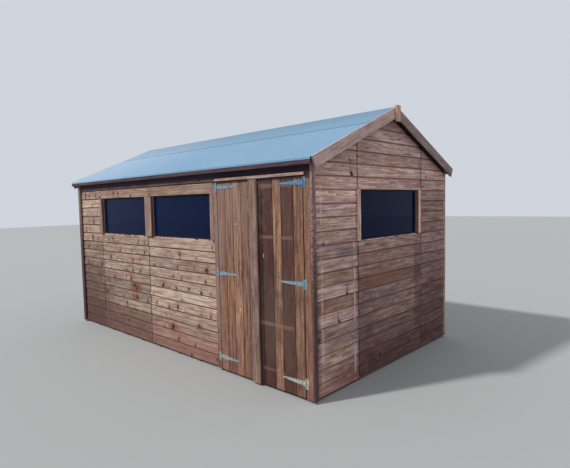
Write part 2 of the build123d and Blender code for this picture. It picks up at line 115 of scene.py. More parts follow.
# Door boards from the left edge of each leaf to the right: how light and how red each one is
LEFT_LEAF_LOOKS = [(0.05, 0.3), (-0.05, 0.15), (0.15, 0.0), (-0.15, 0.2), (-0.1, 0.2)]
# The narrow first board of the right leaf is darkest: its own dark colour together with painted shadow of the meeting
# strip.
RIGHT_LEAF_LOOKS = [(-2.0, 0.9), (-1.3, 0.7), (0.0, 0.0), (-1.15, 0.5), (-0.3, 0.1)]

# Marks seen in the photograph: place along the wall and height, half width, half height, strength
FRONT_FLARES = [(-0.684, 0.655, 0.13, 0.07, 0.85), (-0.65, 0.525, 0.06, 0.05, 0.7), (-1.426, 0.516, 0.06, 0.05, 0.7),
                (0.11, 0.288, 0.09, 0.05, 0.6), (0.60, 0.38, 0.07, 0.04, 0.5), (0.752, 0.974, 0.07, 0.04, 0.6)]
FRONT_KNOTS = [(-0.71, 0.668, 0.03, 0.022, 0.9), (-0.65, 0.64, 0.022, 0.03, 0.8), (-0.65, 0.525, 0.022, 0.035, 0.95),
               (-1.426, 0.516, 0.03, 0.02, 0.7), (0.11, 0.288, 0.03, 0.035, 0.9), (0.60, 0.38, 0.025, 0.022, 0.8),
               (0.432, 0.749, 0.03, 0.018, 0.8), (0.151, 0.86, 0.02, 0.02, 0.9), (0.752, 0.974, 0.03, 0.025, 0.9),
               (-0.229, 0.957, 0.03, 0.02, 0.8)]
DOOR_BANDS = [(1.76, 1.785, 0.19, 0.017, 0.5), (1.76, 1.345, 0.19, 0.015, 0.5), (1.75, 0.585, 0.19, 0.016, 0.5),
              (1.70, 0.18, 0.13, 0.013, 0.35)]
DOOR_KNOTS = [(1.279, 0.655, 0.014, 0.014, 0.9), (1.24, 1.45, 0.03, 0.008, 0.5), (1.60, 1.18, 0.008, 0.02, 0.7)]
DOOR_HEAD_SHADE = [(1.5, 1.86, 0.7, 0.032, 0.92)]
DOOR_BLOOM = [(1.2, 1.62, 0.4, 0.4, 0.35), (0.965, 1.0, 0.06, 1.0, 0.6)]
DOOR_DULL = [(1.7, 0.62, 0.125, 0.42, 0.6), (1.86, 0.62, 0.06, 0.42, 0.5), (1.86, 1.55, 0.06, 0.2, 0.4)]
FRONT_DAMP = [(-1.95, 0.35, 0.75, 0.6, 0.65), (-0.9, 0.1, 0.7, 0.22, 0.35)]
NAIL_LINES = [(-1.098, 1.0, 0.013, 0.9, 0.45), (-0.634, 0.75, 0.012, 0.75, 0.6), (1.205, 0.9, 0.010, 0.9, 0.4)]
GABLE_KNOTS = [(0.223, 0.515, 0.04, 0.028, 0.8), (0.296, 0.665, 0.016, 0.016, 0.6),
               (-0.022, 0.644, 0.014, 0.014, 0.7), (-0.385, 0.625, 0.016, 0.012, 0.6),
               (-0.137, 0.501, 0.014, 0.014, 0.6), (-0.272, 0.735, 0.016, 0.016, 0.5)]
GABLE_KNOT_EYES = [(0.228, 0.515, 0.014, 0.014, 0.9), (0.30, 0.667, 0.006, 0.006, 0.8)]
GABLE_SHADE = [(0.545, 0.72, 0.075, 0.5, 0.42)]
GABLE_DAMP = [(0.0, 0.08, 0.9, 0.2, 0.5), (-0.5, 0.5, 0.2, 0.5, 0.3), (0.95, 0.35, 0.4, 0.5, 0.4),
              (-1.18, 0.6, 0.05, 0.8, 0.55)]
GABLE_FLUSH = [(-0.1, 0.93, 0.45, 0.1, 0.5), (1.0, 0.83, 0.3, 0.06, 0.5), (0.3, 1.82, 0.5, 0.06, 0.35)]
GABLE_BLOOM = [(-0.25, 0.7, 0.45, 0.06, 0.5), (-0.75, 1.2, 0.22, 0.05, 0.5), (0.9, 0.93, 0.3, 0.05, 0.5),
               (0.1, 0.3, 0.5, 0.05, 0.4), (-0.85, 0.45, 0.25, 0.06, 0.4)]
# Painted highlights: pale broken lines along the sills' front edges, where the light catches them
SILL_HIGHLIGHTS = [(-0.913, 1.2805, 0.55, 0.0045, 0.75), (0.309, 1.2805, 0.55, 0.0045, 0.75)]
GABLE_SILL_HIGHLIGHT = [(0.0, 1.2805, 0.552, 0.004, 0.75)]
EAVES_SHADE = [(0.0, 1.965, 3.0, 0.094, 0.93)]
FRONT_JOINTS = [(-1.505, 1.0, 0.010, 1.0, 0.85), (-0.335, 0.65, 0.008, 0.65, 0.9)]
GABLE_JOINTS = [(-0.577, 1.2, 0.010, 1.2, 0.85), (0.63, 1.2, 0.009, 1.2, 0.7)]
CORNER_DAMP = [(-1.22, 0.3, 0.5, 1.25, 0.85)]


class Graph:
    """Adds shader nodes to a tree. Each call gives back the new node's output."""

    def __init__(self, tree):
        self.tree = tree

    def feed(self, socket, value):
        """Links a socket to an output, or sets it to a plain value."""
        if isinstance(value, bpy.types.NodeSocket):
            self.tree.links.new(value, socket)
        else:
            socket.default_value = value

    def node(self, kind, output=0, **values):
        """Adds a node. Values name its settings, or its inputs with _ for a space."""
        node = self.tree.nodes.new(kind)
        for name, value in values.items():
            if hasattr(node, name):
                setattr(node, name, value)
            else:
                self.feed(node.inputs[name.replace("_", " ")], value)
        return node.outputs[output]

    def math(self, operation, *values):
        node = self.tree.nodes.new("ShaderNodeMath")
        node.operation = operation
        for socket, value in zip(node.inputs, values):
            self.feed(socket, value)
        return node.outputs[0]

    def group(self, tree, **values):
        """Places a shared group. Values name its inputs, with _ for a space."""
        node = self.tree.nodes.new("ShaderNodeGroup")
        node.node_tree = tree
        for name, value in values.items():
            self.feed(node.inputs[name.replace("_", " ")], value)
        return node.outputs

    def clamp(self, value):
        return self.node("ShaderNodeClamp", Value=value)

    def mix(self, amount, first, second):
        node = self.tree.nodes.new("ShaderNodeMix")
        node.data_type = "RGBA"
        for index, value in ((0, amount), (6, first), (7, second)):
            self.feed(node.inputs[index], value)
        return node.outputs[2]

    def scale(self, colour, amount):
        """The colour made lighter or darker."""
        node = self.tree.nodes.new("ShaderNodeVectorMath")
        node.operation = "SCALE"
        self.feed(node.inputs[0], colour)
        self.feed(node.inputs["Scale"], amount)
        return node.outputs[0]

    def tinted(self, colour, tint):
        """The colour with its red, green and blue each scaled."""
        node = self.tree.nodes.new("ShaderNodeVectorMath")
        node.operation = "MULTIPLY"
        self.feed(node.inputs[0], colour)
        self.feed(node.inputs[1], tint)
        return node.outputs[0]

    def length(self, x, y):
        """Distance of a point from the origin of a plane."""
        node = self.tree.nodes.new("ShaderNodeVectorMath")
        node.operation = "LENGTH"
        self.feed(node.inputs[0], self.node("ShaderNodeCombineXYZ", X=x, Y=y))
        return node.outputs["Value"]

    def split(self, vector):
        """The three parts of a vector."""
        node = self.tree.nodes.new("ShaderNodeSeparateXYZ")
        self.feed(node.inputs[0], vector)
        return node.outputs

    def remap(self, value, low, high, to_low=0.0, to_high=1.0):
        return self.node("ShaderNodeMapRange", interpolation_type="SMOOTHSTEP", Value=value, From_Min=low,
                         From_Max=high, To_Min=to_low, To_Max=to_high)

    def stretch(self, u, v, along, across):
        """Coordinates scaled by one amount along the grain and another across it."""
        return self.node("ShaderNodeCombineXYZ", X=self.math("MULTIPLY", u, along), Y=self.math("MULTIPLY", v, across))

    def noise(self, vector, scale=1.0, detail=2.0, rough=0.5):
        return self.node("ShaderNodeTexNoise", Vector=vector, Scale=scale, Detail=detail, Roughness=rough)

    def place(self):
        """Position on the shed in metres."""
        return self.node("ShaderNodeTexCoord", 3)

    def attribute(self, name):
        return self.node("ShaderNodeAttribute", 2, attribute_name=name)


def new_group(name, inputs, outputs):
    """Empty shader group with its sockets; gives its graph, its input node and its output node."""
    tree = bpy.data.node_groups.new(name, "ShaderNodeTree")
    for label, kind, value in inputs:
        socket = tree.interface.new_socket(label, in_out="INPUT", socket_type=f"NodeSocket{kind}")
        socket.default_value = value
    for label, kind in outputs:
        tree.interface.new_socket(label, in_out="OUTPUT", socket_type=f"NodeSocket{kind}")
    return Graph(tree), tree.nodes.new("NodeGroupInput"), tree.nodes.new("NodeGroupOutput")


def timber_group():
    """Stained softwood: streaks along the grain, knots, and each board's own tone."""
    graph, given, result = new_group("timber", [
        ("Pale", "Color", (0.5, 0.35, 0.25, 1)), ("Dark", "Color", (0.2, 0.12, 0.08, 1)),
        ("Red", "Color", (0.3, 0.12, 0.08, 1)), ("Knots", "Float", 0.3), ("Figure", "Float", 1.0),
        ("Fineness", "Float", 1.0), ("Cloud", "Float", 0.4), ("Splash", "Float", 0.0)],
        [("Color", "Color"), ("Roughness", "Float"), ("Normal", "Vector")])
    given, red_colour = given.outputs, given.outputs["Red"]
    u, v, unused = graph.split(graph.node("ShaderNodeUVMap", uv_map="grain"))

    # Knots sit in some cells of a random grid and push the grain aside
    cells = graph.tree.nodes.new("ShaderNodeTexVoronoi")
    cells.voronoi_dimensions = "2D"
    graph.feed(cells.inputs["Vector"], graph.stretch(u, v, 6.5, 8.5))
    chance = graph.tree.nodes.new("ShaderNodeSeparateColor")
    graph.feed(chance.inputs[0], cells.outputs["Color"])
    here = graph.math("LESS_THAN", chance.outputs[0], given["Knots"])
    radius = graph.math("MULTIPLY_ADD", chance.outputs[1], 0.08, 0.045)
    ragged = graph.noise(graph.stretch(u, v, 90, 90), detail=1)
    distance = graph.math("MULTIPLY_ADD", ragged, 0.07, graph.math("SUBTRACT", cells.outputs["Distance"], 0.035))
    reach = graph.math("DIVIDE", distance, radius)
    knot = graph.math("MULTIPLY", here, graph.remap(reach, 1.0, 0.5))
    halo = graph.math("MULTIPLY", here, graph.remap(reach, 3.2, 0.8))

    # Streaks along the grain, slow waves and cloudy patches of stain
    sway = graph.math("MULTIPLY_ADD", graph.noise(graph.stretch(u, v, 4.5, 9)), 0.03,
                      graph.math("MULTIPLY", graph.noise(graph.stretch(u, v, 1.4, 6)), 0.04))
    bent = graph.math("ADD", v, graph.math("MULTIPLY_ADD", halo, 0.014, sway))
    bent = graph.math("MULTIPLY", bent, given["Fineness"])
    fine = graph.noise(graph.stretch(u, bent, 5, 230), detail=3, rough=0.65)
    broad = graph.noise(graph.stretch(u, bent, 2.5, 64), detail=2)
    patch = graph.noise(graph.stretch(u, bent, 6, 20), detail=4, rough=0.7)
    figure = graph.math("MULTIPLY_ADD", broad, 0.65, graph.math("MULTIPLY", patch, 0.5))
    figure = graph.math("MULTIPLY_ADD", fine, 0.35, figure)
    contrast = graph.math("MULTIPLY_ADD", graph.math("SUBTRACT", figure, 0.75),
                          graph.math("MULTIPLY", given["Figure"], 4.2), 0.5)
    colour = graph.mix(graph.clamp(contrast), given["Dark"], given["Pale"])
    hue = graph.remap(graph.noise(graph.stretch(u, bent, 1.6, 16), detail=2), 0.35, 0.65)
    shifted = graph.mix(hue, graph.tinted(colour, (0.92, 0.96, 1.14)), graph.tinted(colour, (1.12, 0.99, 0.8)))
    colour = graph.mix(given["Cloud"], colour, shifted)
    flush = graph.math("MULTIPLY", graph.remap(graph.noise(graph.stretch(u, v, 2.5, 9)), 0.52, 0.72), 0.4)
    colour = graph.mix(graph.clamp(graph.math("ADD", graph.attribute("red"), flush)), colour, red_colour)
    colour = graph.mix(graph.math("MULTIPLY", halo, 0.4), colour, red_colour)
    colour = graph.mix(graph.math("MULTIPLY", knot, 0.85), colour, (0.03, 0.016, 0.012, 1))

    # Damp and dirt splashed over the lowest boards
    height = graph.split(graph.place())[2]
    ragged_height = graph.math("MULTIPLY_ADD", graph.noise(graph.place(), scale=3.5, detail=3), -0.4, height)
    low = graph.math("MULTIPLY", graph.remap(ragged_height, 0.15, -0.12), given["Splash"])
    colour = graph.mix(graph.math("MULTIPLY", low, 0.5), colour, red_colour)

    light = graph.math("POWER", 2.0, graph.math("MULTIPLY_ADD", graph.attribute("end"), -1.1, graph.attribute("tone")))
    graph.feed(result.inputs["Color"], graph.scale(colour, light))
    graph.feed(result.inputs["Roughness"], graph.remap(figure, 0.4, 1.1, 0.9, 0.7))
    relief = graph.math("MULTIPLY_ADD", knot, -0.6, figure)
    graph.feed(result.inputs["Normal"], graph.node("ShaderNodeBump", Strength=0.6, Distance=0.002, Height=relief))
    return graph.tree


def crack_group():
    """Small dead knots near the foot of each weatherboard, with a slanting crack that rises from them."""
    graph, given, result = new_group("cracks", [("First", "Float", 0.0), ("Chance", "Float", 0.5)],
                                     [("Crack", "Float"), ("Stain", "Float")])
    given = given.outputs
    u, unused, also_unused = graph.split(graph.node("ShaderNodeUVMap", uv_map="grain"))
    height = graph.split(graph.place())[2]
    courses = graph.math("DIVIDE", graph.math("SUBTRACT", height, given["First"]), COURSE)
    rise = graph.math("FRACT", courses)
    cell = graph.math("DIVIDE", u, 0.15)
    name = graph.node("ShaderNodeCombineXYZ", X=graph.math("FLOOR", cell), Y=graph.math("FLOOR", courses))
    noise = graph.tree.nodes.new("ShaderNodeTexWhiteNoise")
    graph.feed(noise.inputs["Vector"], name)
    chance = graph.tree.nodes.new("ShaderNodeSeparateColor")
    graph.feed(chance.inputs[0], noise.outputs["Color"])
    here = graph.math("LESS_THAN", noise.outputs["Value"], given["Chance"])
    size = graph.math("MULTIPLY_ADD", graph.math("POWER", chance.outputs[1], 2.0), 0.009, 0.0032)

    # Distance from the crack's wandering line, which thins towards its top
    middle = graph.math("MULTIPLY_ADD", chance.outputs[0], 0.6, 0.2)
    across = graph.math("MULTIPLY", graph.math("SUBTRACT", graph.math("FRACT", cell), middle), 0.15)
    lean = graph.math("SUBTRACT", graph.math("FRACT", graph.math("MULTIPLY", chance.outputs[2], 7.0)), 0.5)
    lean = graph.math("MULTIPLY", lean, graph.math("MULTIPLY", rise, 0.12))
    wander = graph.math("MULTIPLY_ADD", graph.noise(graph.place(), scale=32, detail=2), 0.024, -0.012)
    off_line = graph.math("ABSOLUTE", graph.math("ADD", graph.math("ADD", across, lean), wander))
    length = graph.math("MULTIPLY_ADD", graph.math("POWER", chance.outputs[2], 2.0), 0.75, 0.15)
    climb = graph.math("DIVIDE", rise, length)
    width = graph.math("MULTIPLY", size, graph.math("MULTIPLY_ADD", climb, -0.85, 1.0))
    line = graph.math("MULTIPLY", graph.remap(graph.math("DIVIDE", off_line, width), 1.4, 0.5),
                      graph.remap(climb, 1.05, 0.85))
    knot_rise = graph.math("FRACT", graph.math("MULTIPLY", chance.outputs[0], 5.0))
    knot_rise = graph.math("MULTIPLY_ADD", knot_rise, 0.5, 0.08)
    up = graph.math("MULTIPLY", graph.math("SUBTRACT", rise, knot_rise), COURSE)
    far = graph.math("DIVIDE", graph.length(off_line, graph.math("MULTIPLY", up, 0.7)), size)
    knot = graph.remap(far, 2.2, 1.0)
    graph.feed(result.inputs["Crack"], graph.math("MULTIPLY", here, graph.math("MAXIMUM", line, knot)))
    graph.feed(result.inputs["Stain"], graph.math("MULTIPLY", here, graph.remap(far, 8.0, 1.0)))
    return graph.tree


def mark_group(kind, round_mark, unevenness, outer, inner):
    """Mask of one mark at a measured place on a wall, round or square, that fades between two reaches."""
    labels = "Along", "Height", "Wander", "Place", "Level", "Half Width", "Half Height", "Strength"
    graph, given, result = new_group(f"{kind}_mark", [(label, "Float", 1.0) for label in labels], [("Mask", "Float")])
    given = given.outputs
    across = graph.math("DIVIDE", graph.math("SUBTRACT", given["Along"], given["Place"]), given["Half Width"])
    up = graph.math("DIVIDE", graph.math("SUBTRACT", given["Height"], given["Level"]), given["Half Height"])
    if round_mark:
        reach = graph.length(across, up)
    else:
        reach = graph.math("MAXIMUM", graph.math("ABSOLUTE", across), graph.math("ABSOLUTE", up))
    mask = graph.remap(graph.math("MULTIPLY_ADD", given["Wander"], unevenness, reach), outer, inner)
    graph.feed(result.inputs["Mask"], graph.math("MULTIPLY", mask, given["Strength"]))
    return graph.tree


def roof_shade_group():
    """Mask of the shade on the gable boards beside the sloping bargeboards, wider on the right."""
    graph, given, result = new_group("roof_shade", [("Apex", "Float", 2.4), ("Slope", "Float", 0.4)],
                                     [("Mask", "Float")])
    given = given.outputs
    unused, across, height = graph.split(graph.place())
    to_roof = graph.math("DIVIDE", graph.math("SUBTRACT", given["Apex"], height), given["Slope"])
    gap = graph.math("SUBTRACT", to_roof, graph.math("ABSOLUTE", across))
    gap = graph.math("MULTIPLY_ADD", graph.math("GREATER_THAN", across, 0.0), -0.12, gap)
    graph.feed(result.inputs["Mask"], graph.remap(gap, 0.11, 0.0, 0.0, 0.95))
    return graph.tree


def gable_top():
    """Height of the gable cladding's apex, and how far its top falls for each metre from there."""
    points = [vert.co for vert in frame["nodes"]["right_gable_cladding_above"].data.vertices]
    apex = max(co.z for co in points)
    half_width = max(co.y for co in points)
    corner = max(co.z for co in points if abs(co.y) > half_width - 0.001)
    return apex, (apex - corner) / half_width


TIMBER = timber_group()
CRACKS = crack_group()
ROUND_MARK = mark_group("round", True, 2.2, 1.3, 0.4)
SQUARE_MARK = mark_group("square", False, 0.5, 1.15, 0.8)
ROOF_SHADE = roof_shade_group()


def new_material(name):
    """Material with its graph and its Principled shader."""
    material = bpy.data.materials.new(name)
    material.use_nodes = True
    return material, Graph(material.node_tree), material.node_tree.nodes["Principled BSDF"]


def add_marks(graph, colour, marks, tint, axis=0, kind="band"):
    """Tints spots, clouds, bands or broken lines at measured places; axis 0 or 1 runs along the wall."""
    parts = graph.split(graph.place())
    scale, detail = (9, 5) if kind == "cloud" else (45, 3)
    wander = graph.math("SUBTRACT", graph.noise(graph.place(), scale=scale, detail=detail, rough=0.7), 0.5)
    breaks = graph.remap(graph.noise(graph.place(), scale=11, detail=3), 0.36, 0.56) if kind == "broken" else 1.0
    shape = ROUND_MARK if kind in ("spot", "cloud") else SQUARE_MARK
    for place, level, half_width, half_height, strength in marks:
        mask = graph.group(shape, Along=parts[axis], Height=parts[2], Wander=wander, Place=place, Level=level,
                           Half_Width=half_width, Half_Height=half_height, Strength=strength)["Mask"]
        if kind == "broken":
            mask = graph.math("MULTIPLY", mask, breaks)
        colour = graph.mix(mask, colour, (*tint, 1))
    return colour


def wood(name, pale, dark, red, knots=0.3, figure=1.0, fineness=1.0, cloud=0.4, splash=0.0, cracks=0.0, marks=(),
         under_roof=False):
    """Material of one kind of timber, with its marks as (places, tint, axis, kind)."""
    material, graph, shader = new_material(name)
    timber = graph.group(TIMBER, Pale=(*pale, 1), Dark=(*dark, 1), Red=(*red, 1), Knots=knots, Figure=figure,
                         Fineness=fineness, Cloud=cloud, Splash=splash)
    colour = timber["Color"]
    if cracks:
        along = graph.split(graph.place())[0]
        more_to_the_left = graph.remap(along, -0.2, -1.1, cracks, 1.8 * cracks)
        crack = graph.group(CRACKS, First=FIRST_COURSE, Chance=more_to_the_left)
        colour = graph.mix(graph.math("MULTIPLY", crack["Stain"], 0.55), colour, (*red, 1))
        colour = graph.mix(graph.math("MULTIPLY", crack["Crack"], 0.96), colour, (0.014, 0.006, 0.006, 1))
    for places, tint, axis, kind in marks:
        colour = add_marks(graph, colour, places, tint, axis, kind)
    if under_roof:
        shade = graph.group(ROOF_SHADE, Apex=GABLE_APEX, Slope=GABLE_SLOPE)["Mask"]
        colour = graph.mix(shade, colour, (0.012, 0.006, 0.014, 1))
    graph.feed(shader.inputs["Base Color"], colour)
    graph.feed(shader.inputs["Roughness"], timber["Roughness"])
    graph.feed(shader.inputs["Normal"], timber["Normal"])
    shader.inputs["Specular IOR Level"].default_value = 0.2
    return material


def felt_material():
    """Pale blue-grey mineral felt with fine granules."""
    material, graph, shader = new_material("mineral_felt")
    grains = graph.noise(graph.place(), scale=900, detail=1)
    cloud = graph.noise(graph.place(), scale=2.2, detail=3)
    speck = graph.mix(graph.remap(grains, 0.35, 0.7), (0.10, 0.19, 0.28, 1), (0.22, 0.37, 0.51, 1))
    speck = graph.mix(graph.remap(cloud, 0.3, 0.7, 0.0, 0.4), speck, (0.18, 0.29, 0.40, 1))
    along, unused, height = graph.split(graph.place())
    speck = graph.mix(graph.remap(along, 0.5, -2.2), speck, graph.tinted(speck, (1.6, 1.3, 1.2)))
    upper = graph.scale(speck, graph.remap(height, RIDGE_SHEET_EDGE, 2.52, 0.92, 0.78))
    colour = graph.mix(graph.math("GREATER_THAN", height, RIDGE_SHEET_EDGE), speck, upper)
    edge = graph.math("ABSOLUTE", graph.math("SUBTRACT", height, RIDGE_SHEET_EDGE))
    lap_line = graph.remap(edge, 0.006, 0.001, 0.0, 0.6)
    graph.feed(shader.inputs["Base Color"], graph.mix(lap_line, colour, (0.05, 0.08, 0.11, 1)))
    shader.inputs["Roughness"].default_value = 0.85
    ripple = graph.math("MULTIPLY_ADD", graph.noise(graph.place(), scale=5, detail=1), 4.0, grains)
    graph.feed(shader.inputs["Normal"], graph.node("ShaderNodeBump", Strength=0.5, Distance=0.0012, Height=ripple))
    return material


def metal_material(name, colour, roughness):
    """Galvanised or bare steel with a faint cloud of tones, bluer at the top and duller low down."""
    material, graph, shader = new_material(name)
    cloud = graph.noise(graph.place(), scale=60, detail=3)
    darker = tuple(0.55 * part for part in colour)
    tone = graph.mix(graph.remap(cloud, 0.35, 0.65), (*darker, 1), (*colour, 1))
    along, unused, height = graph.split(graph.place())
    top = graph.math("MULTIPLY", graph.remap(height, 1.5, 1.7), graph.remap(along, 1.4, 1.6, 0.3, 1.0))
    tone = graph.mix(top, tone, graph.tinted(tone, (0.5, 0.7, 0.98)))
    low = graph.math("MULTIPLY", graph.remap(height, 0.5, 0.3), graph.remap(along, 1.4, 1.6, 0.5, 1.0))
    tone = graph.mix(low, tone, graph.tinted(tone, (1.85, 1.32, 0.98)))
    graph.feed(shader.inputs["Base Color"], tone)
    shader.inputs["Metallic"].default_value = 0.4
    shader.inputs["Roughness"].default_value = roughness
    return material


def glass_material():
    """Dark window glass that lets a little of the inside show."""
    material, graph, shader = new_material("window_glass")
    shader.inputs["Base Color"].default_value = (0.004, 0.009, 0.036, 1)
    shader.inputs["Roughness"].default_value = 0.05
    shader.inputs["IOR"].default_value = 1.15
    shader.inputs["Specular Tint"].default_value = (0.4, 0.55, 1.0, 1)
    shader.inputs["Transmission Weight"].default_value = 0.1
    return material


FIRST_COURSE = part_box("front_cladding_below_windows")[0].z
GABLE_APEX, GABLE_SLOPE = gable_top()
WALL_STAIN = (0.45, 0.35, 0.275), (0.16, 0.098, 0.072), (0.22, 0.09, 0.066)
GABLE_STAIN = (0.60, 0.43, 0.375), (0.21, 0.12, 0.105), (0.28, 0.11, 0.075)
SHADE = (0.022, 0.011, 0.034)
BACK_CLADDING = wood("back_cladding", *WALL_STAIN, figure=0.8, splash=1.0, cracks=0.28,
                     marks=[(EAVES_SHADE, SHADE, 0, "band")])
CLADDING = wood("cladding", *WALL_STAIN, figure=0.78, splash=1.0, cracks=0.32,
                marks=[(FRONT_DAMP, (0.085, 0.038, 0.032), 0, "cloud"),
                       (FRONT_FLARES, (0.16, 0.045, 0.028), 0, "spot"),
                       (FRONT_KNOTS, (0.03, 0.01, 0.009), 0, "spot"),
                       (FRONT_JOINTS, (0.03, 0.014, 0.012), 0, "broken"),
                       (SILL_HIGHLIGHTS, (0.62, 0.5, 0.47), 0, "broken"),
                       (EAVES_SHADE, SHADE, 0, "band")])
LEFT_GABLE_CLADDING = wood("left_gable_cladding", *GABLE_STAIN, figure=0.85, fineness=0.7, cloud=0.6, splash=0.6,
                           cracks=0.1, under_roof=True)
GABLE_CLADDING = wood("gable_cladding", *GABLE_STAIN, figure=0.8, fineness=0.7, cloud=0.7, splash=0.6,
                      cracks=0.05, under_roof=True,
                      marks=[(GABLE_FLUSH, (0.26, 0.10, 0.055), 1, "cloud"),
                             (GABLE_BLOOM, (0.13, 0.09, 0.11), 1, "cloud"),
                             (GABLE_DAMP, (0.06, 0.022, 0.024), 1, "cloud"),
                             (GABLE_SHADE, (0.07, 0.028, 0.03), 1, "band"),
                             (NAIL_LINES, (0.66, 0.54, 0.5), 1, "broken"),
                             (GABLE_KNOTS, (0.5, 0.33, 0.2), 1, "spot"),
                             (GABLE_KNOT_EYES, (0.05, 0.02, 0.015), 1, "spot"),
                             (GABLE_JOINTS, (0.035, 0.014, 0.018), 1, "broken"),
                             (GABLE_SILL_HIGHLIGHT, (0.7, 0.56, 0.54), 1, "broken")])
TRIM = wood("trim", (0.41, 0.285, 0.225), (0.16, 0.094, 0.075), (0.23, 0.095, 0.072))
BARGE = wood("bargeboard", (0.40, 0.295, 0.265), (0.15, 0.098, 0.09), (0.21, 0.095, 0.08), figure=0.6)
EAVES = wood("eaves_trim", (0.09, 0.053, 0.063), (0.032, 0.021, 0.027), (0.085, 0.036, 0.043))
DOOR_SEAM = [(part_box("meeting_strip")[0].x - 0.026, 0.93, 0.012, 0.9, 0.8)]
DOORS = wood("doors", (0.35, 0.195, 0.112), (0.09, 0.045, 0.034), (0.14, 0.05, 0.05), figure=0.85, fineness=0.85,
             cloud=0.6, splash=0.6,
             marks=[(DOOR_BLOOM, (0.24, 0.165, 0.14), 0, "cloud"),
                    (DOOR_DULL, (0.082, 0.052, 0.036), 0, "cloud"),
                    (DOOR_BANDS, (0.22, 0.12, 0.085), 0, "band"),
                    (DOOR_KNOTS, (0.5, 0.3, 0.17), 0, "spot"),
                    (DOOR_SEAM, (0.05, 0.025, 0.02), 0, "broken"),
                    (DOOR_HEAD_SHADE, (0.012, 0.008, 0.014), 0, "band")])
# Window linings: very dark timber that stands in for the shade inside the window reveals (painted shade)
SHADED_LINING = wood("lining", (0.085, 0.055, 0.045), (0.045, 0.028, 0.025), (0.07, 0.03, 0.025))
CORNER = wood("corner_trim", (0.44, 0.31, 0.26), (0.16, 0.098, 0.09), (0.2, 0.08, 0.075),
              marks=[(CORNER_DAMP, (0.055, 0.022, 0.028), 1, "spot")])
BEARER = wood("bearer", (0.16, 0.11, 0.075), (0.09, 0.06, 0.042), (0.12, 0.06, 0.045))
FRAMING = wood("framing", (0.66, 0.50, 0.33), (0.46, 0.31, 0.18), (0.5, 0.28, 0.16), figure=0.7)
FLOOR = wood("floor", (0.62, 0.48, 0.33), (0.42, 0.29, 0.18), (0.46, 0.28, 0.17), knots=0.2, figure=0.7)
FELT = felt_material()
GLASS = glass_material()
GALVANISED = metal_material("galvanised_steel", (0.26, 0.38, 0.43), 0.5)
NAIL = metal_material("nail_steel", (0.10, 0.08, 0.07), 0.6)


def new_mesh(source=None):
    """Empty or copied mesh with the grain coordinates and per-face values that the timber shader reads."""
    mesh = bmesh.new()
    if source:
        mesh.from_mesh(source)
    mesh.loops.layers.uv.new("grain")
    for name in ("tone", "red", "end"):
        mesh.faces.layers.float.new(name)
    return mesh


def join(mesh, piece):
    """Adds a finished piece to a larger mesh."""
    data = bpy.data.meshes.new("piece")
    piece.to_mesh(data)
    piece.free()
    mesh.from_mesh(data)
    bpy.data.meshes.remove(data)


def lay_grain(mesh, faces, grain, tone=0.0, red=0.0):
    """Runs the grain of some faces along a direction, from a random place in the timber, and adds to their tone."""
    uv = mesh.loops.layers.uv["grain"]
    tone_layer, red_layer, end_layer = (mesh.faces.layers.float[name] for name in ("tone", "red", "end"))
    shift = random.uniform(0, 40), random.uniform(0, 40)
    for face in faces:
        face.normal_update()
        is_end = abs(face.normal.dot(grain)) > 0.75
        across = face.normal.orthogonal() if is_end else face.normal.cross(grain)
        across.normalize()
        along = across.cross(face.normal)
        for loop in face.loops:
            loop[uv].uv = loop.vert.co.dot(along) + shift[0], loop.vert.co.dot(across) + shift[1]
        face[tone_layer] += tone
        face[red_layer] += red
        face[end_layer] = float(is_end)


def show(mesh, name, body, material, replaced=(), smooth=False):
    """Makes the finished mesh an object that rides on a body and stands for CAD nodes."""
    data = bpy.data.meshes.new(name)
    mesh.to_mesh(data)
    mesh.free()
    if smooth:
        data.shade_smooth()
    data.materials.append(material)
    piece = bpy.data.objects.new(name, data)
    bpy.context.scene.collection.objects.link(piece)
    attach(piece, body)
    if replaced:
        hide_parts(*replaced)
    return piece


def cad_mesh(node):
    """A CAD node's mesh with its facets joined into whole flat faces."""
    mesh = new_mesh(frame["nodes"][node].data)
    bmesh.ops.remove_doubles(mesh, verts=mesh.verts, dist=2e-5)
    bmesh.ops.dissolve_limit(mesh, angle_limit=0.01, verts=mesh.verts, edges=mesh.edges)
    return mesh


def box_of(faces):
    """Lowest and highest corner of some faces."""
    points = [vert.co for face in faces for vert in face.verts]
    return Vector(map(min, *points)), Vector(map(max, *points))


def solids(mesh):
    """The faces of a mesh in groups, one for each separate solid, ordered by place."""
    seen = set()
    groups = []
    for first in mesh.faces:
        if first in seen:
            continue
        seen.add(first)
        group = [first]
        for face in group:
            for edge in face.edges:
                for other in edge.link_faces:
                    if other not in seen:
                        seen.add(other)
                        group.append(other)
        groups.append(group)
    return sorted(groups, key=lambda group: [round(part, 3) for part in box_of(group)[0]])


def solid_boxes(node):
    """Lowest and highest corner of each solid of a CAD node."""
    mesh = cad_mesh(node)
    boxes = [box_of(group) for group in solids(mesh)]
    mesh.free()
    return boxes


def longest_edge(group):
    """Direction of the longest straight edge round a solid, which is where its grain runs."""
    edge = max((edge for face in group for edge in face.edges), key=lambda edge: round(edge.calc_length(), 4))
    return (edge.verts[1].co - edge.verts[0].co).normalized()


def plain_board(middle):
    """Tone and redness of a board with no look of its own."""
    return random.gauss(0, 0.15), max(0.0, random.gauss(0.05, 0.12))


def unshaded(face):
    return 0.0


